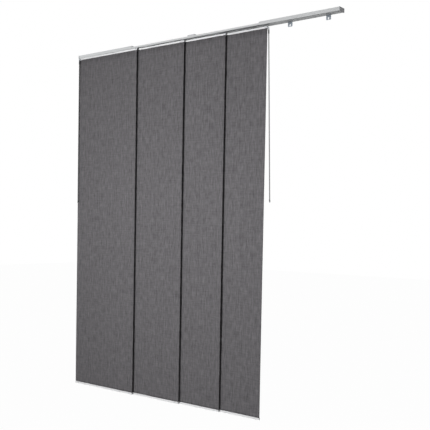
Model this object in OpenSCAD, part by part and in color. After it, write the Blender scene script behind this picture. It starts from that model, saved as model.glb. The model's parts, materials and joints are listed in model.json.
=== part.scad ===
// Panel track blind: four fabric panels on a telescoping four-channel track
// X runs along the track, -Y faces the room, Z is up
// The origin lies on the wall, at the middle of the first bracket's two slots

/* [Track] */
// Length of the extended track between its end caps
track_l = 2179; // [1950:1:2300]
// How far the inner channels stay inside each outer section at full length
overlap = 37.5; // [25:0.5:120]
// Length of the collar that ties the inner channels at mid-track
collar_l = 58; // [40:1:100]
// Height of the outer sections
track_h = 21; // [19:0.5:25]
// Distance between neighbouring channels
channel_pitch = 14; // [13.5:0.1:18]
// Wall of the outer sections
outer_wall = 1.2; // [1:0.1:1.5]
// Corner radius of the outer sections
outer_corner_r = 1; // [0.6:0.1:1.2]
// Width of the fine grooves along the front of the outer sections
face_groove_w = 0.9; // [0.5:0.1:1.5]
// Depth of those grooves
face_groove_d = 0.4; // [0.2:0.1:0.5]
// Width of the slot under each outer chamber
outer_slot_w = 7; // [6:0.1:8]
// Height of the inner channels
inner_h = 11.8; // [10.5:0.1:12.5]
// Wall of the inner channels
inner_wall = 0.8; // [0.6:0.1:0.8]
// Width of the slot under each inner channel
slot_w = 5; // [4.6:0.1:5.6]
// Height and width of the ribs that keep the inner channels down
guide_rib = 1; // [0.6:0.1:1.2]
// Thickness of the track's end caps
end_cap_t = 2.5; // [2:0.1:4]
// How far the end caps stand out around the track
end_cap_rim = 0.6; // [0.3:0.1:1.5]
// How far the end caps reach below the track to stop the panels
end_stop_drop = 3; // [2.5:0.1:6]
// Depth of the recess in the end caps' outer faces
end_recess = 0.6; // [0.3:0.1:1]
// Border around that recess
end_border = 2.5; // [1.5:0.1:4]
// Length of the end caps' tongues
end_tongue_l = 12; // [8:1:20]

/* [Wall brackets] */
// Distance from the track's end to the nearest bracket
bracket_inset = 99; // [60:1:150]
// Distance between the two brackets of an outer section
bracket_spacing = 261; // [150:1:300]
// Width of a bracket
bracket_w = 31; // [26:1:45]
// Sheet thickness of a bracket
bracket_t = 2; // [1.5:0.1:3]
// Reach of the arm over the track
bracket_arm = 36; // [32:1:50]
// Reach of the leg below the track
leg_drop = 25.5; // [24:0.5:45]
// Outer bend radius of a bracket
bend_r = 3; // [2:0.1:4]
// Corner radius of a bracket's leg and arm
bracket_corner_r = 4; // [2:0.1:6]
// Width of the wall slots
wall_slot_w = 8; // [5:0.1:9]
// Length of the wall slots
wall_slot_l = 13; // [12:0.5:16]
// Metal left below the lower wall slot
slot_edge = 2.5; // [2:0.5:5]
// Width of the tongue under the track
tongue_w = 14; // [8:1:20]
// Reach of the tongue under the track
tongue_d = 2.6; // [1.5:0.1:2.6]
// Thickness of the tongue
tongue_t = 1.5; // [1:0.1:1.8]
// Shank diameter of the bracket screws
screw_d = 3.9; // [3:0.1:5]
// Head diameter of the bracket screws
screw_head_d = 8; // [7:0.1:10]
// Head height of the bracket screws
screw_head_h = 2.6; // [2:0.1:4]
// How far the screws reach below the track's top wall
screw_reach = 3; // [1.5:0.1:3.5]

/* [Panels] */
// Width of a panel
panel_w = 597; // [540:1:620]
// Drop of a panel from the top of its carrier to the bottom of its bar
panel_drop = 2438; // [1800:1:2600]
// Left edge of panel 1, from the track's left end
panel_1_x = 0.5; // [0.5:0.5:40]
// Left edge of panel 2, from the track's left end
panel_2_x = 421; // [300:1:520]
// Left edge of panel 3, from the track's left end
panel_3_x = 755; // [600:1:850]
// Left edge of panel 4, from the track's left end
panel_4_x = 1066; // [900:1:1200]
// Fabric thickness
fabric_t = 0.8; // [0.5:0.1:1]
// Thickness of the hook and loop tape
tape_t = 1.3; // [0.8:0.1:1.6]

/* [Carriers] */
// Depth of a carrier
carrier_d = 9; // [8:0.1:9.5]
// Height of a carrier's visible face
carrier_face_h = 11; // [9.5:0.1:16]
// Height of a carrier's hollow box
carrier_box_h = 7.5; // [6.5:0.1:9]
// Wall of a carrier
carrier_wall = 1.1; // [0.8:0.1:1.4]
// Full height of a carrier with its tape web
carrier_h = 25; // [22:0.5:32]
// Length of a carrier's end caps
carrier_cap_l = 20; // [16:1:30]
// Length of the tongues that hold the caps in the carrier
carrier_tongue_l = 10; // [6:1:20]
// Distance between a panel's two gliders
glider_spacing = 260; // [160:1:400]
// Length of a glider's shoe
shoe_l = 26; // [16:1:34]
// Height of a glider's shoe
shoe_h = 6; // [4:0.1:7]
// Length of a glider's neck
neck_l = 10; // [6:0.5:14]
// Thickness of a glider's neck
neck_t = 4; // [3:0.1:4]
// Height of a glider's foot
foot_h = 2.4; // [1.6:0.1:3]

/* [Bottom bars] */
// Height of a bottom bar
bar_h = 13; // [12:0.1:18]
// Depth of a bottom bar
bar_d = 7; // [6:0.1:8]
// Wall of a bottom bar
bar_wall = 1.2; // [0.9:0.1:1.5]
// Depth of the groove that grips the fabric
bar_grip = 6; // [4:0.1:6.5]
// Corner radius of a bottom bar
bar_corner_r = 0.9; // [0.4:0.1:1.1]
// Thickness of the end plugs' flanges
plug_t = 2; // [1.2:0.1:4]
// Distance from a bar's end to the window of its plug
window_inset = 22; // [12:1:30]
// Length of that window
window_l = 20; // [8:1:30]

/* [Wands] */
// Length of a wand from its eye to its tip
wand_l = 1070; // [700:1:1400]
// Diameter of a wand
wand_d = 7; // [5:0.1:7]
// Outward lean of the right-hand wand, in degrees
wand_lean = 1.8; // [0:0.1:3]
// Diameter of the rings' wire
wire_d = 2.4; // [1.8:0.1:2.6]
// Radius of a ring, to the middle of its wire
ring_r = 5; // [4.8:0.1:6]
// Diameter of the eyes that the rings run through
eye_d = 3.6; // [3:0.1:3.8]
// Thickness of the lugs and tabs around the eyes
lug_t = 2.5; // [2:0.1:3]
// Metal or plastic around an eye
eye_wall = 1.7; // [1.2:0.1:1.8]
// Outer diameter of a wand's ferrule and tip
ferrule_d = 9; // [8.5:0.1:9]
// Length of a ferrule's round body
ferrule_l = 22; // [16:1:40]
// Depth of the sockets that hold the rod
socket_l = 14; // [8:1:15]
// Length of a wand's tip
tip_l = 18; // [16:1:40]
// Distance of the left-hand wand from the left edge of panel 1
left_eye_in = 10; // [6:0.5:14]
// Distance of the right-hand wand from the right edge of panel 4
right_eye_out = 7; // [6.5:0.5:16]
// Distance of the left-hand eye in front of its carrier
left_eye_front = 5; // [5:0.5:12]
// Distance of the left-hand eye below its carrier's top
left_eye_drop = 7; // [6:0.5:8]
// Distance of the right-hand eye below its carrier's top
right_eye_drop = 9.5; // [9:0.5:10]

/* [Clearances] */
// Between the inner channels and the floor and ribs of the outer sections
seat_gap = 0.05; // [0.05:0.05:0.2]
// Between the inner channels and the side walls of the outer sections
side_gap = 0.2; // [0.1:0.05:0.3]
// Between a glider and the floor of its inner channel
run_gap = 0.1; // [0.05:0.05:0.3]
// Between a glider's shoe and the side walls of its inner channel
shoe_gap = 0.3; // [0.2:0.05:0.5]
// Between the track and the carriers
hang_gap = 1.2; // [0.8:0.1:2]
// Between pieces that push into each other
push_gap = 0.1; // [0.05:0.05:0.2]
// Between the fabric and its groove, on each side
groove_gap = 0.2; // [0.1:0.05:0.3]
// Between a closed track's inner channels and its end caps
close_gap = 2; // [1:0.5:5]
// Between the bracket screws and the arm's holes
screw_gap = 0.15; // [0.05:0.05:0.3]

/* [Hidden] */
$fn = 48;
channels = [1:4];
panel_pieces = ["carrier", "left_cap", "right_cap", "gliders", "tape", "fabric", "bottom_bar", "bar_plugs"];
wand_pieces = ["ring", "ferrule", "rod", "tip"];
cut = 1; // how far cutters pass through what they cut

// Places along the track
track_x = -bracket_inset;
track_mid = track_x + track_l / 2;
track_end = track_x + track_l;
panel_x = [for (x = [panel_1_x, panel_2_x, panel_3_x, panel_4_x]) track_x + x];
outer_l = (track_l / 2 + overlap + close_gap - collar_l / 2) / 2;
outer_travel = track_l / 2 - outer_l - collar_l / 2;
inner_l = track_l - 2 * outer_travel - 2 * close_gap;
left_bracket_x = [track_x + bracket_inset, track_x + bracket_inset + bracket_spacing];
right_bracket_x = [track_end - bracket_inset - bracket_spacing, track_end - bracket_inset];

// Heights
upper_slot = track_h / 2;
lower_slot = slot_edge + wall_slot_l / 2 - leg_drop;
track_z = -(upper_slot + lower_slot) / 2;
track_top = track_z + track_h;
inner_z = track_z + outer_wall + seat_gap;
rib_z = inner_z + inner_h + seat_gap;
run_z = inner_z + inner_wall + run_gap;
carrier_z = track_z - hang_gap;
fabric_top = carrier_z - carrier_face_h - groove_gap;
bar_z = carrier_z - panel_drop;
groove_z = bar_z + bar_h - bar_grip - groove_gap;
fabric_z = bar_z + bar_h - bar_grip;
bar_hollow_h = bar_h - bar_grip - groove_gap - 2 * bar_wall;

// Depths
track_d = 4 * channel_pitch + outer_wall;
track_back = -bracket_t;
track_front = track_back - track_d;
chamber_w = channel_pitch - outer_wall;
inner_w = chamber_w - 2 * side_gap;
shoe_w = inner_w - 2 * inner_wall - 2 * shoe_gap;
carrier_slot_w = neck_t + 2 * push_gap;
cavity_w = carrier_d - 2 * carrier_wall;
cavity_h = carrier_box_h - 2 * carrier_wall;
foot_w = cavity_w - 2 * push_gap;
fabric_y = -carrier_d / 2 + groove_gap;
web_y = fabric_y + fabric_t + tape_t;
bar_y = fabric_y + fabric_t / 2;
screw_y = channel_y(3);

function channel_y(i) = track_front + outer_wall / 2 + (i - 0.5) * channel_pitch;

// The eyes that the wands hang from, and a ring's lowest point below its eye
left_eye_y = channel_y(1) - carrier_d / 2 - left_eye_front;
left_eye = [panel_x[0] + left_eye_in, left_eye_y, carrier_z - left_eye_drop];
right_eye = [panel_x[3] + panel_w + right_eye_out, channel_y(4), carrier_z - right_eye_drop];
lug_r = eye_d / 2 + eye_wall;
ring_drop = 2 * ring_r;
ferrule_top = -ring_drop - lug_r;
rod_top = ferrule_top - ferrule_l + socket_l;
rod_bottom = -wand_l + tip_l - socket_l;

aluminium_grey = "#bfc1c4";
strip_white = "#e9e9eb";
zinc_grey = "#8d979f";
cap_grey = "#85878a";
fabric_grey = "#6b696c";
clear_grey = "#9a9c9e";
hook_grey = "#3a3b3d";

// Extrudes a section drawn in depth and height along the track
module along_track(x, l) {
    translate([x, 0, 0]) rotate([90, 0, 90]) linear_extrude(l) children();
}

module rounded_rect(w, h, r) {
    translate([r, 0]) square([w - 2 * r, h]);
    translate([0, r]) square([w, h - 2 * r]);
    for (x = [r, w - r], y = [r, h - r]) translate([x, y]) circle(r);
}

// What rounds off an upper right-hand corner, from the middle of its arc
module corner_cut(r) {
    difference() {
        square(r + cut);
        circle(r);
    }
}

// A slot's outline, centred, with its length upright
module slot_outline(w, l) {
    square([w, l - w], center = true);
    for (y = [-1, 1]) translate([0, y * (l - w) / 2]) circle(d = w);
}

// Four chambers with slotted floors, and ribs above the inner channels
module outer_section() {
    difference() {
        translate([track_front, track_z]) rounded_rect(track_d, track_h, outer_corner_r);
        for (i = channels) translate([channel_y(i), track_z]) {
            translate([-chamber_w / 2, outer_wall]) square([chamber_w, track_h - 2 * outer_wall]);
            translate([-outer_slot_w / 2, -cut]) square([outer_slot_w, outer_wall + 2 * cut]);
        }
        for (part = [1, 2]) translate([track_front - cut, track_z + part * track_h / 3])
            square([face_groove_d + cut, face_groove_w]);
    }
    for (i = channels) translate([channel_y(i), rib_z]) {
        translate([-chamber_w / 2, 0]) square(guide_rib);
        translate([chamber_w / 2 - guide_rib, 0]) square(guide_rib);
    }
}

module outer_rail(x, bracket_places) {
    color(aluminium_grey) difference() {
        along_track(x, outer_l) outer_section();
        for (bx = bracket_places) translate([bx, screw_y, track_top - outer_wall - cut])
            cylinder(d = screw_d + 2 * push_gap, h = outer_wall + 2 * cut);
    }
}

module rail_collar() {
    color(aluminium_grey) along_track(track_mid - collar_l / 2, collar_l) outer_section();
}

module inner_channel(i) {
    hollow_w = inner_w - 2 * inner_wall;
    color(aluminium_grey) along_track(track_mid - inner_l / 2, inner_l)
        translate([channel_y(i), inner_z]) difference() {
            translate([-inner_w / 2, 0]) square([inner_w, inner_h]);
            translate([-hollow_w / 2, inner_wall]) square([hollow_w, inner_h - 2 * inner_wall]);
            translate([-slot_w / 2, -cut]) square([slot_w, inner_wall + 2 * cut]);
        }
}

// A plate that stops the panels, with a tongue in the top of each chamber
// turn is 1 on the left and -1 on the right
module end_cap(x, turn) {
    tongue_z = rib_z + guide_rib + push_gap;
    tongue_h = track_top - outer_wall - push_gap - tongue_z;
    plate_w = track_d + end_cap_rim;
    plate_h = track_h + end_cap_rim + end_stop_drop;
    plate_r = outer_corner_r + end_cap_rim;
    color(cap_grey) translate([x, 0, 0]) mirror([turn < 0 ? 1 : 0, 0, 0]) {
        translate([0, track_front - end_cap_rim, track_z - end_stop_drop]) difference() {
            along_track(-end_cap_t, end_cap_t) rounded_rect(plate_w, plate_h, plate_r);
            along_track(-end_cap_t - cut, end_recess + cut) translate([end_border, end_border])
                rounded_rect(plate_w - 2 * end_border, plate_h - 2 * end_border, plate_r);
        }
        for (i = channels) along_track(-push_gap, end_tongue_l)
            translate([channel_y(i) - chamber_w / 2 + push_gap, tongue_z])
                square([chamber_w - 2 * push_gap, tongue_h]);
    }
}

// A bent steel angle: two upright slots for the wall, an arm over the track and a tongue under it
module wall_bracket(x) {
    arm_top = track_top + bracket_t;
    tongue_z = track_z - tongue_t;
    corner_x = bracket_w / 2 - bracket_corner_r;
    color(zinc_grey) difference() {
        union() {
            along_track(x - bracket_w / 2, bracket_w) difference() {
                union() {
                    translate([-bracket_t, track_z - leg_drop])
                        square([bracket_t, arm_top - track_z + leg_drop]);
                    translate([-bracket_arm, track_top]) square([bracket_arm, bracket_t]);
                }
                translate([-bend_r, arm_top - bend_r]) corner_cut(bend_r);
            }
            translate([x - tongue_w / 2, track_back - tongue_d, tongue_z])
                cube([tongue_w, tongue_d + bracket_t / 2, tongue_t]);
        }
        for (z = [upper_slot, lower_slot]) translate([x, cut, track_z + z])
            rotate([90, 0, 0]) linear_extrude(bracket_t + 2 * cut) slot_outline(wall_slot_w, wall_slot_l);
        translate([x, screw_y, track_top - cut])
            cylinder(d = screw_d + 2 * screw_gap, h = bracket_t + 2 * cut);
        translate([x, 0, 0]) for (side = [0, 1]) mirror([side, 0, 0]) translate([corner_x, 0, 0]) {
            translate([0, -bracket_arm + bracket_corner_r, track_top - cut]) mirror([0, 1, 0])
                linear_extrude(bracket_t + 2 * cut) corner_cut(bracket_corner_r);
            translate([0, cut, track_z - leg_drop + bracket_corner_r]) rotate([90, 0, 0])
                linear_extrude(bracket_t + 2 * cut) mirror([0, 1]) corner_cut(bracket_corner_r);
        }
    }
}

// Pan-head screws that fasten the arms to the track's top wall
module bracket_screws(places) {
    recess_w = screw_head_d / 8;
    recess_l = screw_head_d / 2;
    shank_l = bracket_t + outer_wall + screw_reach;
    color(zinc_grey) for (x = places) translate([x, screw_y, track_top + bracket_t]) difference() {
        union() {
            cylinder(d = screw_head_d, h = screw_head_h);
            translate([0, 0, -shank_l]) cylinder(d = screw_d, h = shank_l);
        }
        for (turn = [0, 90]) rotate(turn) translate([-recess_l / 2, -recess_w / 2, screw_head_h / 2])
            cube([recess_l, recess_w, screw_head_h]);
    }
}

// A carrier's outline without its hollow: box, front skirt and tape web, from the middle of its top
module carrier_outline() {
    translate([-carrier_d / 2, -carrier_box_h]) square([carrier_d, carrier_box_h]);
    translate([-carrier_d / 2, -carrier_face_h]) square([carrier_wall, carrier_face_h]);
    translate([web_y, -carrier_h]) square([carrier_wall, carrier_h]);
}

module carrier(i) {
    color(strip_white) along_track(panel_x[i - 1] + carrier_cap_l, panel_w - 2 * carrier_cap_l)
        translate([channel_y(i), carrier_z]) difference() {
            carrier_outline();
            translate([-cavity_w / 2, carrier_wall - carrier_box_h]) square([cavity_w, cavity_h]);
            translate([-carrier_slot_w / 2, -carrier_wall - push_gap])
                square([carrier_slot_w, carrier_wall + push_gap + cut]);
        }
}

// The end cap of a carrier, drawn for the left end; turn is 1 on the left and -1 on the right
module carrier_cap(i, x, turn) {
    color(cap_grey) {
        translate([x, channel_y(i), carrier_z]) mirror([turn < 0 ? 1 : 0, 0, 0]) {
            along_track(0, carrier_cap_l) carrier_outline();
            along_track(carrier_cap_l - push_gap, carrier_tongue_l)
                translate([-foot_w / 2, carrier_wall + push_gap - carrier_box_h])
                    square([foot_w, cavity_h - 2 * push_gap]);
        }
        children();
    }
}

// A flat lug around an eye, drawn in X and Z with the eye at its origin and its root to the left
module lug(reach) {
    rotate([90, 0, 0]) linear_extrude(lug_t, center = true) difference() {
        union() {
            circle(lug_r);
            translate([-reach, -lug_r]) square([reach, 2 * lug_r]);
        }
        circle(d = eye_d);
    }
}

module panel_left_cap(i) {
    carrier_cap(i, panel_x[i - 1], 1)
        if (i == 1) translate(left_eye) rotate(-90) lug(left_eye_front + push_gap);
}

module panel_right_cap(i) {
    carrier_cap(i, panel_x[i - 1] + panel_w, -1)
        if (i == 4) translate(right_eye) lug(right_eye_out + push_gap);
}

// Two gliders: a shoe in the channel, a neck through both slots and a foot in the carrier
module gliders(i) {
    foot_z = carrier_z - carrier_wall - foot_h;
    color(strip_white) for (side = [-1, 1])
        translate([panel_x[i - 1] + panel_w / 2 + side * glider_spacing / 2, channel_y(i), 0]) {
            translate([0, 0, run_z]) linear_extrude(shoe_h) rotate(90) slot_outline(shoe_w, shoe_l);
            translate([-neck_l / 2, -neck_t / 2, foot_z]) cube([neck_l, neck_t, run_z + shoe_h - foot_z]);
            translate([-neck_l, -foot_w / 2, foot_z]) cube([2 * neck_l, foot_w, foot_h]);
        }
}

// Hook and loop tape between the web and the fabric
module tape(i) {
    margin = groove_gap * 5;
    color(strip_white) along_track(panel_x[i - 1] + margin, panel_w - 2 * margin)
        translate([channel_y(i) + web_y - tape_t, carrier_z - carrier_h + margin])
            square([tape_t, carrier_h - carrier_face_h - 2 * margin]);
}

module fabric(i) {
    color(fabric_grey) along_track(panel_x[i - 1], panel_w)
        translate([channel_y(i) + fabric_y, fabric_z]) square([fabric_t, fabric_top - fabric_z]);
}

// A bottom bar's outline with the groove for the fabric
module bar_outline() {
    difference() {
        translate([-bar_d / 2, 0]) rounded_rect(bar_d, bar_h, bar_corner_r);
        translate([-fabric_t / 2 - groove_gap, groove_z - bar_z]) square([fabric_t + 2 * groove_gap, bar_h]);
    }
}

module bottom_bar(i) {
    x = panel_x[i - 1];
    hollow_w = bar_d - 2 * bar_wall;
    color(strip_white) difference() {
        along_track(x + plug_t, panel_w - 2 * plug_t) translate([channel_y(i) + bar_y, bar_z]) difference() {
            bar_outline();
            translate([-hollow_w / 2, bar_wall]) square([hollow_w, bar_hollow_h]);
        }
        for (wx = [x + window_inset, x + panel_w - window_inset - window_l])
            translate([wx, channel_y(i) + bar_y - bar_d / 2 - cut, bar_z + bar_wall])
                cube([window_l, bar_wall + 2 * cut, bar_hollow_h]);
    }
}

// Two end plugs: a flange and a tongue that shows in the bar's window
module bar_plugs(i) {
    x = panel_x[i - 1];
    tongue_l = window_inset + window_l - plug_t;
    tongue_w = bar_d - 2 * bar_wall - 2 * push_gap;
    color(cap_grey) for (end = [[x, 0], [x + panel_w, 1]])
        translate([end[0], channel_y(i) + bar_y, bar_z]) mirror([end[1], 0, 0]) {
            along_track(0, plug_t) bar_outline();
            along_track(plug_t - push_gap, tongue_l) translate([-tongue_w / 2, bar_wall + push_gap])
                square([tongue_w, bar_hollow_h - 2 * push_gap]);
        }
}

// Places a wand's piece: the left ring lies along the track, the right one across it and leaning out
module at_eye(side) {
    if (side == "left") translate(left_eye) rotate(90) children();
    else translate(right_eye) rotate([0, -wand_lean, 0]) children();
}

// A wire ring through the lug's eye, drawn in Y and Z
module wand_ring(side) {
    color(zinc_grey) at_eye(side) translate([0, 0, -ring_r]) rotate([0, 90, 0])
        rotate_extrude() translate([ring_r, 0]) circle(d = wire_d, $fn = 24);
}

// A tab around the ring's lowest point, and a round body with a socket for the rod
module wand_ferrule(side) {
    shoulder = ferrule_d / 6;
    straight_l = ferrule_l - shoulder;
    color(hook_grey) at_eye(side) difference() {
        union() {
            translate([0, 0, -ring_drop]) rotate([0, -90, 0]) lug(lug_r + shoulder);
            translate([0, 0, ferrule_top - ferrule_l]) {
                cylinder(d = ferrule_d, h = straight_l);
                translate([0, 0, straight_l]) cylinder(d1 = ferrule_d, r2 = lug_r, h = shoulder);
            }
        }
        translate([0, 0, ferrule_top - ferrule_l - cut])
            cylinder(d = wand_d + 2 * push_gap, h = socket_l + cut);
    }
}

module wand_rod(side) {
    color(clear_grey) at_eye(side)
        translate([0, 0, rod_bottom]) cylinder(d = wand_d, h = rod_top - rod_bottom);
}

// A tip with a rounded end and a socket for the rod
module wand_tip(side) {
    end_r = ferrule_d / 4;
    color(clear_grey) at_eye(side) translate([0, 0, -wand_l]) difference() {
        rotate_extrude() union() {
            square([ferrule_d / 2 - end_r, tip_l]);
            translate([0, end_r]) square([ferrule_d / 2, tip_l - end_r]);
            translate([ferrule_d / 2 - end_r, end_r]) circle(end_r);
        }
        translate([0, 0, tip_l - socket_l]) cylinder(d = wand_d + 2 * push_gap, h = socket_l + cut);
    }
}

outer_rail(track_x, left_bracket_x);  // left_outer_rail
end_cap(track_x, 1);  // left_end_cap
wall_bracket(left_bracket_x[0]);  // left_bracket_1
wall_bracket(left_bracket_x[1]);  // left_bracket_2
bracket_screws(left_bracket_x);  // left_bracket_screws
rail_collar();
outer_rail(track_end - outer_l, right_bracket_x);  // right_outer_rail
end_cap(track_end, -1);  // right_end_cap
wall_bracket(right_bracket_x[0]);  // right_bracket_1
wall_bracket(right_bracket_x[1]);  // right_bracket_2
bracket_screws(right_bracket_x);  // right_bracket_screws
for (i = channels) {
    inner_channel(i);
    carrier(i);
    panel_left_cap(i);
    panel_right_cap(i);
    gliders(i);
    tape(i);
    fabric(i);
    bottom_bar(i);
    bar_plugs(i);
}
for (side = ["left", "right"]) {
    wand_ring(side);
    wand_ferrule(side);
    wand_rod(side);
    wand_tip(side);
}
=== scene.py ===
# %% [markdown]
# # A panel track blind, dressed in Blender
# The hard pieces of the blind come from CAD: a telescoping track, its wall brackets, the carriers,
# the bars and the wands. Here they get their finishes, and the four cloth panels are made as real
# hanging sheets.

# %% Load the CAD frame
import json
import math

import bpy
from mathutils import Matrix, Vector


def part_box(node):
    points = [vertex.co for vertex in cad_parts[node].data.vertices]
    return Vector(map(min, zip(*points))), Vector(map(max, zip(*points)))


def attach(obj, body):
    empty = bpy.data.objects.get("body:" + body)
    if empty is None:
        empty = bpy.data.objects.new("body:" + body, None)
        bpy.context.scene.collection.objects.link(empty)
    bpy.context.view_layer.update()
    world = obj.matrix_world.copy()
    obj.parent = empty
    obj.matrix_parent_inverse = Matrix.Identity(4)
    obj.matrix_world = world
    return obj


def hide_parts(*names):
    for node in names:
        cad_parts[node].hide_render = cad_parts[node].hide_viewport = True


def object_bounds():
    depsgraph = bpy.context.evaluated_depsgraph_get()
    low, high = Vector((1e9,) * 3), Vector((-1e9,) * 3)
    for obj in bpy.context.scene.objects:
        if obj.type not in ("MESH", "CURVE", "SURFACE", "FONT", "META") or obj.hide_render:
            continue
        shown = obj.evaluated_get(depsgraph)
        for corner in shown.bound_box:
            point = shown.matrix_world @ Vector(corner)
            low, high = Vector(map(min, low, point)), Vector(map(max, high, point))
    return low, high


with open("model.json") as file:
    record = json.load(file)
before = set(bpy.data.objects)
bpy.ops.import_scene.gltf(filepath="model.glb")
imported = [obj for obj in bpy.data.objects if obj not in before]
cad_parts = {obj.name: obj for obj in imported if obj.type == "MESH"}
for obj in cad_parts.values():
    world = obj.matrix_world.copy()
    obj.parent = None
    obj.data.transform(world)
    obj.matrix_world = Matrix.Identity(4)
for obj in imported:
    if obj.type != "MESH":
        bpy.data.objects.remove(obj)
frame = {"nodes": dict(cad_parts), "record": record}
cad_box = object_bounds()
print("CAD nodes:", len(frame["nodes"]), "box:", [tuple(round(v, 3) for v in p) for p in cad_box])

# %% [markdown]
# ## The camera
# The photograph looks from the right, at the height of the panels' middle. A camera could be placed
# by eye, but the panels are four plain rectangles, so a fit to their edges gives the place and the
# lens to a fraction of a pixel. The picture was cropped, so the lens is shifted instead of tilted.

# %% Camera
CAMERA_PLACE = (4.1013, -3.76034, -1.22138)
CAMERA_TURN = (87.7805, -1.0386, 37.8992)  # degrees

bpy.ops.object.select_all(action="DESELECT")
bpy.ops.object.camera_add(
    location=CAMERA_PLACE, rotation=[math.radians(angle) for angle in CAMERA_TURN]
)
camera = bpy.context.object
camera.name = "photo_camera"
camera.data.sensor_width = 36
camera.data.lens = 61.004
camera.data.shift_y = 0.089
camera.data.clip_start, camera.data.clip_end = 0.05, 100
bpy.context.scene.camera = camera
print("camera lens:", round(camera.data.lens, 1), "mm")

# %% [markdown]
# ## Light
# A small soft box stands far in front and to the left, so that all four panels get the same light
# and each casts a thin dark line on the next. A large box close by would be softer, but it would
# fill those lines. The box's grid narrows its beam, so the light falls off towards the top and the
# foot. A second one behind shows the backs. Both are kept out of reflections, as a polarising
# filter would do, because their glare would wipe out the thin rail. A weak box on the left gives
# the rail its soft shine, and one above lifts the tops.

# %% Soft boxes
bpy.context.scene.view_settings.view_transform = "Standard"


def soft_box(name, place, aim, size, spread, watts, in_reflections):
    """An area lamp, so wide and high, that points from place to aim with a beam in degrees."""
    bpy.ops.object.light_add(type="AREA", location=place)
    lamp = bpy.context.object
    lamp.name = name
    lamp.data.shape = "RECTANGLE"
    lamp.data.size, lamp.data.size_y = size
    lamp.data.spread = math.radians(spread)
    lamp.data.energy = watts
    lamp.rotation_euler = (Vector(aim) - Vector(place)).to_track_quat("-Z", "Y").to_euler()
    lamp.visible_glossy = lamp.visible_transmission = in_reflections
    return lamp


lamps = [
    soft_box("key_box", (-2.8, -11.0, -0.9), aim=(1.20, 0, -1.08),
             size=(2.0, 0.4), spread=31, watts=38, in_reflections=False),
    soft_box("back_box", (1.2, 11.5, -0.6), aim=(0.94, 0, -1.08),
             size=(2.0, 0.4), spread=31, watts=24, in_reflections=False),
    soft_box("top_box", (0.9, -2.2, 2.2), aim=(0.9, 0, -0.2),
             size=(3.0, 0.8), spread=180, watts=5, in_reflections=True),
    soft_box("left_box", (-4.6, -4.6, 1.2), aim=(0.6, 0, 0),
             size=(2.4, 2.4), spread=180, watts=20, in_reflections=True),
]
print("lamps:", {lamp.name: lamp.data.energy for lamp in lamps})

# %% [markdown]
# ## The white room
# The blind is shown on plain white. A white room as bright as that would also light the blind from
# all sides and flatten it. So the world has two strengths: white where the camera looks at it, also
# by way of metal or clear plastic, and a weak fill for everything else. A Light Path node chooses.

# %% World
SHOWN_WHITE = 1.0
FILL = 0.16


def place_node(tree, kind, **inputs):
    """Adds a node and sets its inputs by name, with underscores for spaces."""
    made = tree.nodes.new(kind)
    for name, value in inputs.items():
        made.inputs[name.replace("_", " ")].default_value = value
    return made


def math_node(tree, operation, a, b=0):
    """A Math node; a and b are numbers or sockets."""
    made = tree.nodes.new("ShaderNodeMath")
    made.operation = operation
    for k, value in enumerate((a, b)):
        if isinstance(value, (int, float)):
            made.inputs[k].default_value = value
        else:
            tree.links.new(value, made.inputs[k])
    return made.outputs[0]


def add_shown_mask(tree):
    """1 for what the camera sees, also in metal and through clear plastic, and 0 for light."""
    path = tree.nodes.new("ShaderNodeLightPath")
    mask = path.outputs["Is Camera Ray"]
    for ray in ("Is Glossy Ray", "Is Transmission Ray"):
        mask = math_node(tree, "MAXIMUM", mask, path.outputs[ray])
    return mask


world = bpy.data.worlds.new("studio")
bpy.context.scene.world = world
world.use_nodes = True
sky = world.node_tree
sky.nodes.clear()
shown = place_node(sky, "ShaderNodeBackground", Color=(1, 1, 1, 1), Strength=SHOWN_WHITE)
fill = place_node(sky, "ShaderNodeBackground", Color=(1, 1, 1, 1), Strength=FILL)
choice = sky.nodes.new("ShaderNodeMixShader")
sky_out = sky.nodes.new("ShaderNodeOutputWorld")
sky.links.new(add_shown_mask(sky), choice.inputs["Fac"])
sky.links.new(fill.outputs[0], choice.inputs[1])
sky.links.new(shown.outputs[0], choice.inputs[2])
sky.links.new(choice.outputs[0], sky_out.inputs["Surface"])
print("world:", world.name, "fill:", FILL)

# %% [markdown]
# ## Shared effects
# Several finishes share an effect, so each effect is a node group that is built once. Drawn metal
# has fine lines along its length, moulded plastic has a fine grain, and the cloth has threads both
# ways with thicker slubs in them. Each group puts out a tone for colour and roughness, and a height
# for the relief. All come from noise that is stretched along the piece, so no picture is needed.

# %% Helpers for an effect


def new_effect(name, setting, value):
    """A node group with one setting, and its place on the piece, tone and height."""
    tree = bpy.data.node_groups.new(name, "ShaderNodeTree")
    tree.interface.new_socket(name="Place", in_out="INPUT", socket_type="NodeSocketVector")
    number = tree.interface.new_socket(name=setting, in_out="INPUT", socket_type="NodeSocketFloat")
    number.default_value = value
    for label in ("Tone", "Height"):
        tree.interface.new_socket(name=label, in_out="OUTPUT", socket_type="NodeSocketFloat")
    given = tree.nodes.new("NodeGroupInput").outputs
    return tree, given["Place"], given[setting], tree.nodes.new("NodeGroupOutput").inputs


def stretched_noise(tree, place, cells, detail):
    """Noise with its own number of cells per metre along X, Y and Z."""
    scaled = tree.nodes.new("ShaderNodeVectorMath")
    scaled.operation = "MULTIPLY"
    scaled.inputs[1].default_value = cells
    tree.links.new(place, scaled.inputs[0])
    noise = place_node(tree, "ShaderNodeTexNoise", Scale=1.0, Detail=detail, Roughness=0.6)
    tree.links.new(scaled.outputs[0], noise.inputs["Vector"])
    return noise.outputs["Fac"]


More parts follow.
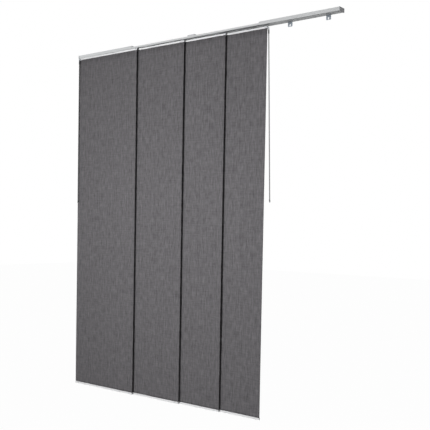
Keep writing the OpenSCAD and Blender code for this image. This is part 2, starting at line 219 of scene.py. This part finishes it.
# %% Drawn lines along an extrusion
drawn_lines, place, strength, result = new_effect("drawn_lines", "Strength", 1.0)
fine = stretched_noise(drawn_lines, place, (6, 900, 900), detail=3)
broad = stretched_noise(drawn_lines, place, (9, 60, 60), detail=2)
drawn_lines.links.new(math_node(drawn_lines, "MULTIPLY", fine, strength), result["Height"])
drawn_lines.links.new(broad, result["Tone"])
print("effect:", drawn_lines.name, "nodes:", len(drawn_lines.nodes))

# %% Grain of moulded plastic
moulded_grain, place, strength, result = new_effect("moulded_grain", "Strength", 1.0)
grain = stretched_noise(moulded_grain, place, (1600, 1600, 1600), detail=2)
cloud = stretched_noise(moulded_grain, place, (70, 70, 70), detail=3)
moulded_grain.links.new(math_node(moulded_grain, "MULTIPLY", grain, strength), result["Height"])
moulded_grain.links.new(cloud, result["Tone"])
print("effect:", moulded_grain.name, "nodes:", len(moulded_grain.nodes))

# %% Threads and slubs of the cloth
PANEL_THREAD = 0.0011  # metres, a thread over and a thread under
CROSSING_HEIGHT = 0.3

woven_cloth, place, thread, result = new_effect("woven_cloth", "Thread", PANEL_THREAD)
axes = woven_cloth.nodes.new("ShaderNodeSeparateXYZ")
woven_cloth.links.new(place, axes.inputs[0])
turns = math_node(woven_cloth, "DIVIDE", 2 * math.pi, thread)
warp, weft = (
    math_node(woven_cloth, "SINE", math_node(woven_cloth, "MULTIPLY", axes.outputs[axis], turns))
    for axis in ("X", "Z")
)
crossing = math_node(woven_cloth, "MULTIPLY", warp, weft)

# Cells per metre, detail, and share of the tone
STREAKS = {
    "long threads upwards": ((110, 1, 1.2), 2, 0.15),
    "slubs upwards": ((90, 1, 18), 3, 0.48),
    "slubs across": ((14, 1, 130), 3, 0.25),
    "fine threads upwards": ((700, 1, 60), 2, 0.12),
}
tone = 0
for cells, detail, share in STREAKS.values():
    streak = stretched_noise(woven_cloth, place, cells, detail)
    tone = math_node(woven_cloth, "ADD", tone, math_node(woven_cloth, "MULTIPLY", streak, share))
woven_cloth.links.new(tone, result["Tone"])
raised = math_node(woven_cloth, "MULTIPLY", crossing, CROSSING_HEIGHT)
woven_cloth.links.new(math_node(woven_cloth, "ADD", raised, tone), result["Height"])
print("effect:", woven_cloth.name, "streaks:", list(STREAKS))

# %% [markdown]
# ## Finishes
# Each finish is one Principled shader. An effect's tone tints the colour a little and moves the
# roughness, and its height lifts the surface through a Bump node. Numbers that are the same all
# over are set on the shader itself, because an exporter can read them there.

# %% Finish helper
DARK_AT, LIGHT_AT = 0.3, 0.7  # most of the noise lies between these


def new_finish(name, effect, setting, dark, light, rough, bump, **plain):
    """A material whose colour, roughness and relief follow an effect.

    rough is the least and the most roughness, bump the strength and distance in metres, and plain
    are values of the shader by name, with underscores for spaces.
    """
    mat = bpy.data.materials.new(name)
    mat.use_nodes = True
    tree = mat.node_tree
    shader = tree.nodes["Principled BSDF"]
    for label, value in plain.items():
        shader.inputs[label.replace("_", " ")].default_value = value
    group = tree.nodes.new("ShaderNodeGroup")
    group.node_tree = effect
    group.inputs[1].default_value = setting
    coords = tree.nodes.new("ShaderNodeTexCoord")
    tree.links.new(coords.outputs["Object"], group.inputs["Place"])

    ramp = tree.nodes.new("ShaderNodeValToRGB")
    for stop, at, colour in zip(ramp.color_ramp.elements, (DARK_AT, LIGHT_AT), (dark, light)):
        stop.position, stop.color = at, (*colour, 1)
    tree.links.new(group.outputs["Tone"], ramp.inputs["Fac"])
    tree.links.new(ramp.outputs["Color"], shader.inputs["Base Color"])

    between = place_node(tree, "ShaderNodeMapRange", To_Min=rough[0], To_Max=rough[1])
    tree.links.new(group.outputs["Tone"], between.inputs["Value"])
    tree.links.new(between.outputs[0], shader.inputs["Roughness"])

    relief = place_node(tree, "ShaderNodeBump", Strength=bump[0], Distance=bump[1])
    tree.links.new(group.outputs["Height"], relief.inputs["Height"])
    tree.links.new(relief.outputs[0], shader.inputs["Normal"])
    return mat


# %% [markdown]
# ## Metals
# The rails are satin aluminium, the carriers and bars are lacquered white, and the brackets and
# rings are zinc plated. A polished metal would mirror the white room and vanish in it, so the rails
# are rough, with lines along their length. The plating is cloudy and a little blue.

# %% Metals
track_metal = new_finish(
    "satin_aluminium", drawn_lines, 1.0,
    dark=(0.55, 0.56, 0.565), light=(0.60, 0.61, 0.615),
    rough=(0.46, 0.58), bump=(0.10, 0.0001), Metallic=0.9,
)
white_metal = new_finish(
    "white_lacquer", drawn_lines, 0.6,
    dark=(0.85, 0.85, 0.86), light=(0.90, 0.90, 0.91),
    rough=(0.34, 0.46), bump=(0.06, 0.0001), Coat_Weight=0.15,
)
zinc_steel = new_finish(
    "zinc_plate", moulded_grain, 0.7,
    dark=(0.35, 0.39, 0.44), light=(0.50, 0.55, 0.61),
    rough=(0.32, 0.45), bump=(0.2, 0.0003), Metallic=0.7,
)
print("metals:", track_metal.name, white_metal.name, zinc_steel.name)

# %% [markdown]
# ## Plastics
# Gliders, caps and ferrules are moulded, with a fine grain. The wands are smoked clear rods: light
# on the white background and dark in front of the cloth, which a plain grey would not be, so they
# really let light through. The tips are thicker and would look black in the same tint, so theirs is
# paler.

# %% Plastics
white_plastic = new_finish(
    "white_moulding", moulded_grain, 1.0,
    dark=(0.74, 0.74, 0.745), light=(0.79, 0.79, 0.795),
    rough=(0.42, 0.58), bump=(0.2, 0.0002),
)
grey_plastic = new_finish(
    "grey_moulding", moulded_grain, 1.0,
    dark=(0.70, 0.71, 0.73), light=(0.77, 0.78, 0.80),
    rough=(0.45, 0.62), bump=(0.25, 0.0003),
)
dark_plastic = new_finish(
    "dark_moulding", moulded_grain, 1.0,
    dark=(0.035, 0.035, 0.038), light=(0.055, 0.055, 0.06),
    rough=(0.40, 0.58), bump=(0.2, 0.0002),
)
clear_plastic = new_finish(
    "smoked_clear_rod", moulded_grain, 0.2,
    dark=(0.19, 0.19, 0.195), light=(0.23, 0.23, 0.235),
    rough=(0.05, 0.14), bump=(0.05, 0.0002), Transmission_Weight=1.0, IOR=1.49,
)
clear_tip = new_finish(
    "smoked_clear_tip", moulded_grain, 0.2,
    dark=(0.62, 0.62, 0.625), light=(0.70, 0.70, 0.705),
    rough=(0.10, 0.20), bump=(0.05, 0.0002), Transmission_Weight=1.0, IOR=1.49,
)
plastics = (white_plastic, grey_plastic, dark_plastic, clear_plastic, clear_tip)
print("plastics:", [mat.name for mat in plastics])

# %% [markdown]
# ## Cloths
# The panels are a stiff grey weave with a faint sheen. The tape that holds them is a coarse white
# loop. Shade is painted into the cloth's colour in bands along the cut: thin painted shade at both
# side edges, which deepens the dark line where one panel steps in front of the next, painted shade
# below the head, where the rail and carrier shade the cloth, and painted shade at the foot above
# the bar. A painted texture would do it too, but these places follow the cut, so bands on the
# cloth's own UV map are enough.

# %% Cloths
TAPE_THREAD = 0.0008

panel_fabric = new_finish(
    "woven_grey", woven_cloth, PANEL_THREAD,
    dark=(0.060, 0.0575, 0.061), light=(0.206, 0.198, 0.208),
    rough=(0.80, 0.95), bump=(0.5, 0.0005),
    Sheen_Weight=0.12, Sheen_Roughness=0.5, Specular_IOR_Level=0.2,
)
tape = new_finish(
    "hook_and_loop", woven_cloth, TAPE_THREAD,
    dark=(0.66, 0.66, 0.66), light=(0.78, 0.78, 0.78),
    rough=(0.85, 0.98), bump=(0.8, 0.0008),
)
print("cloths:", panel_fabric.name, tape.name)

# %% Painted shade bands along the cut
SIDE_CLEAR, SIDE_FULL, SIDE_SHADE = 0.003, 0.001, 0.75  # metres from the cut, and what is left
HEAD_CLEAR, HEAD_FULL, HEAD_SHADE = 0.045, 0.015, 0.80
FOOT_CLEAR, FOOT_FULL, FOOT_SHADE = 0.018, 0.010, 0.70

cut_low, cut_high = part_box("panel_1_fabric")
cut_w, cut_l = cut_high.x - cut_low.x, cut_high.z - cut_low.z
weave = panel_fabric.node_tree
cut_coords = weave.nodes.new("ShaderNodeTexCoord")
cut_axes = weave.nodes.new("ShaderNodeSeparateXYZ")
weave.links.new(cut_coords.outputs["UV"], cut_axes.inputs[0])
across, along = cut_axes.outputs["X"], cut_axes.outputs["Y"]
from_middle = math_node(weave, "ABSOLUTE", math_node(weave, "SUBTRACT", across, 0.5))


def add_painted_shade(axis, clear_at, full_at, shade):
    """Paints shade from clear_at to full_at on a UV axis, down to shade times the cloth's colour.
    """
    base = weave.nodes["Principled BSDF"].inputs["Base Color"]
    band = place_node(weave, "ShaderNodeMapRange", From_Min=clear_at, From_Max=full_at)
    weave.links.new(axis, band.inputs["Value"])
    darker = weave.nodes.new("ShaderNodeMix")
    darker.data_type, darker.blend_type = "RGBA", "MULTIPLY"
    darker.inputs["B"].default_value = (shade, shade, shade, 1)
    weave.links.new(band.outputs[0], darker.inputs["Factor"])
    weave.links.new(base.links[0].from_socket, darker.inputs["A"])
    weave.links.new(darker.outputs["Result"], base)


# Painted shade along both side edges, which deepens the dark line between stepped panels.
add_painted_shade(from_middle, 0.5 - SIDE_CLEAR / cut_w, 0.5 - SIDE_FULL / cut_w, SIDE_SHADE)
# Painted shade below the head, where the rail and carrier shade the cloth.
add_painted_shade(along, 1 - HEAD_CLEAR / cut_l, 1 - HEAD_FULL / cut_l, HEAD_SHADE)
# Painted shade at the foot, where the bar shades the cloth.
add_painted_shade(along, FOOT_CLEAR / cut_l, FOOT_FULL / cut_l, FOOT_SHADE)
print("cut of a panel:", round(cut_w, 4), "by", round(cut_l, 4), "m")

# %% Put the finishes on the CAD nodes
finishes = {
    "track_metal": track_metal,
    "white_metal": white_metal,
    "zinc_steel": zinc_steel,
    "white_plastic": white_plastic,
    "grey_plastic": grey_plastic,
    "dark_plastic": dark_plastic,
    "clear_plastic": clear_plastic,
    "panel_fabric": panel_fabric,
    "tape": tape,
}
own_finish = {"left_wand_tip": clear_tip, "right_wand_tip": clear_tip}
for part in frame["record"]["subparts"]:
    piece = frame["nodes"][part["node"]]
    piece.data.materials.clear()
    piece.data.materials.append(own_finish.get(part["node"], finishes[part["material_slot"]]))

# %% [markdown]
# ## The floor
# A pale floor lies well below the bars. A plain white plane would show its grey shading, so it also
# glows for the camera: it looks almost white, with a trace of the shadow left.

# %% Floor
FLOOR_SIZE, FLOOR_BELOW = 40, 0.5
FLOOR_GLOW = 0.98  # how much of what the camera sees is glow, and the rest is the lit floor

bpy.ops.object.select_all(action="DESELECT")
bpy.ops.mesh.primitive_plane_add(size=FLOOR_SIZE, location=(0, 0, cad_box[0].z - FLOOR_BELOW))
floor = bpy.context.object
floor.name = "studio_floor"
floor_mat = bpy.data.materials.new("pale_floor")
floor_mat.use_nodes = True
tree = floor_mat.node_tree
paint = tree.nodes["Principled BSDF"]
paint.inputs["Base Color"].default_value = (0.8, 0.8, 0.8, 1)
paint.inputs["Roughness"].default_value = 0.9
glow = place_node(tree, "ShaderNodeEmission", Color=(1, 1, 1, 1), Strength=SHOWN_WHITE)
blend = tree.nodes.new("ShaderNodeMixShader")
glow_share = math_node(tree, "MULTIPLY", add_shown_mask(tree), FLOOR_GLOW)
tree.links.new(glow_share, blend.inputs["Fac"])
tree.links.new(paint.outputs[0], blend.inputs[1])
tree.links.new(glow.outputs[0], blend.inputs[2])
tree.links.new(blend.outputs[0], tree.nodes["Material Output"].inputs["Surface"])
floor.data.materials.append(floor_mat)
print("floor at:", round(floor.location.z, 3), "m")

# %% [markdown]
# ## The cloth panels
# A panel is one flat cut of stiff cloth, held along its top by tape and pulled straight by the bar
# in its foot. It could be simulated, but a weighted cloth barely moves: a grid with a shallow bow,
# slightly curled side edges and a faint ripple says the same. Each fades out towards the head and
# the foot, which are held. Solidify then gives the sheet its thickness.

# %% Hang a panel
CLOTH_T = 0.0008
BOW, CURL, RIPPLE = 0.0007, 0.0010, 0.00025  # metres out of the flat
COLUMNS, ROWS = 60, 160


def out_of_flat(across, up, index):
    """How far the cloth stands out at a place; across and up go from -0.5 to 0.5."""
    free = max(0.0, 1 - (2 * up) ** 4)
    bow = BOW * math.sin(2.1 * math.pi * up + index) * math.cos(math.pi * across)
    curl = CURL * (2 * abs(across)) ** 12 * math.sin(5.3 * up + 1.7 * index)
    wave = math.sin(9 * math.pi * across + 2.3 * index) * math.cos(3 * math.pi * up)
    return free * (bow + curl + RIPPLE * wave)


def hang_panel(index):
    """One cloth panel in the place of its CAD solid."""
    node = f"panel_{index}_fabric"
    low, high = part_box(node)
    middle = (low + high) / 2
    width, drop = high.x - low.x, high.z - low.z
    bpy.ops.object.select_all(action="DESELECT")
    bpy.ops.mesh.primitive_grid_add(x_subdivisions=COLUMNS, y_subdivisions=ROWS, size=1)
    cloth = bpy.context.object
    cloth.name = f"panel_{index}_cloth"
    bpy.ops.object.mode_set(mode="EDIT")
    bpy.ops.mesh.select_all(action="SELECT")
    bpy.ops.transform.resize(value=(width, drop, 1), center_override=(0, 0, 0))
    bpy.ops.object.mode_set(mode="OBJECT")
    for v in cloth.data.vertices:
        out = out_of_flat(v.co.x / width, v.co.y / drop, index)
        v.co = (middle.x + v.co.x, middle.y + out, middle.z + v.co.y)
    thick = cloth.modifiers.new("thickness", "SOLIDIFY")
    thick.thickness, thick.offset = CLOTH_T, 0
    bpy.ops.object.modifier_apply(modifier="thickness")
    bpy.ops.object.shade_smooth_by_angle(angle=math.radians(40))
    cloth.data.materials.append(panel_fabric)
    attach(cloth, f"panel_{index}")
    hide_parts(node)
    return cloth


cloths = [hang_panel(index) for index in (1, 2, 3, 4)]
print("cloth panels:", {c.name: len(c.data.polygons) for c in cloths})
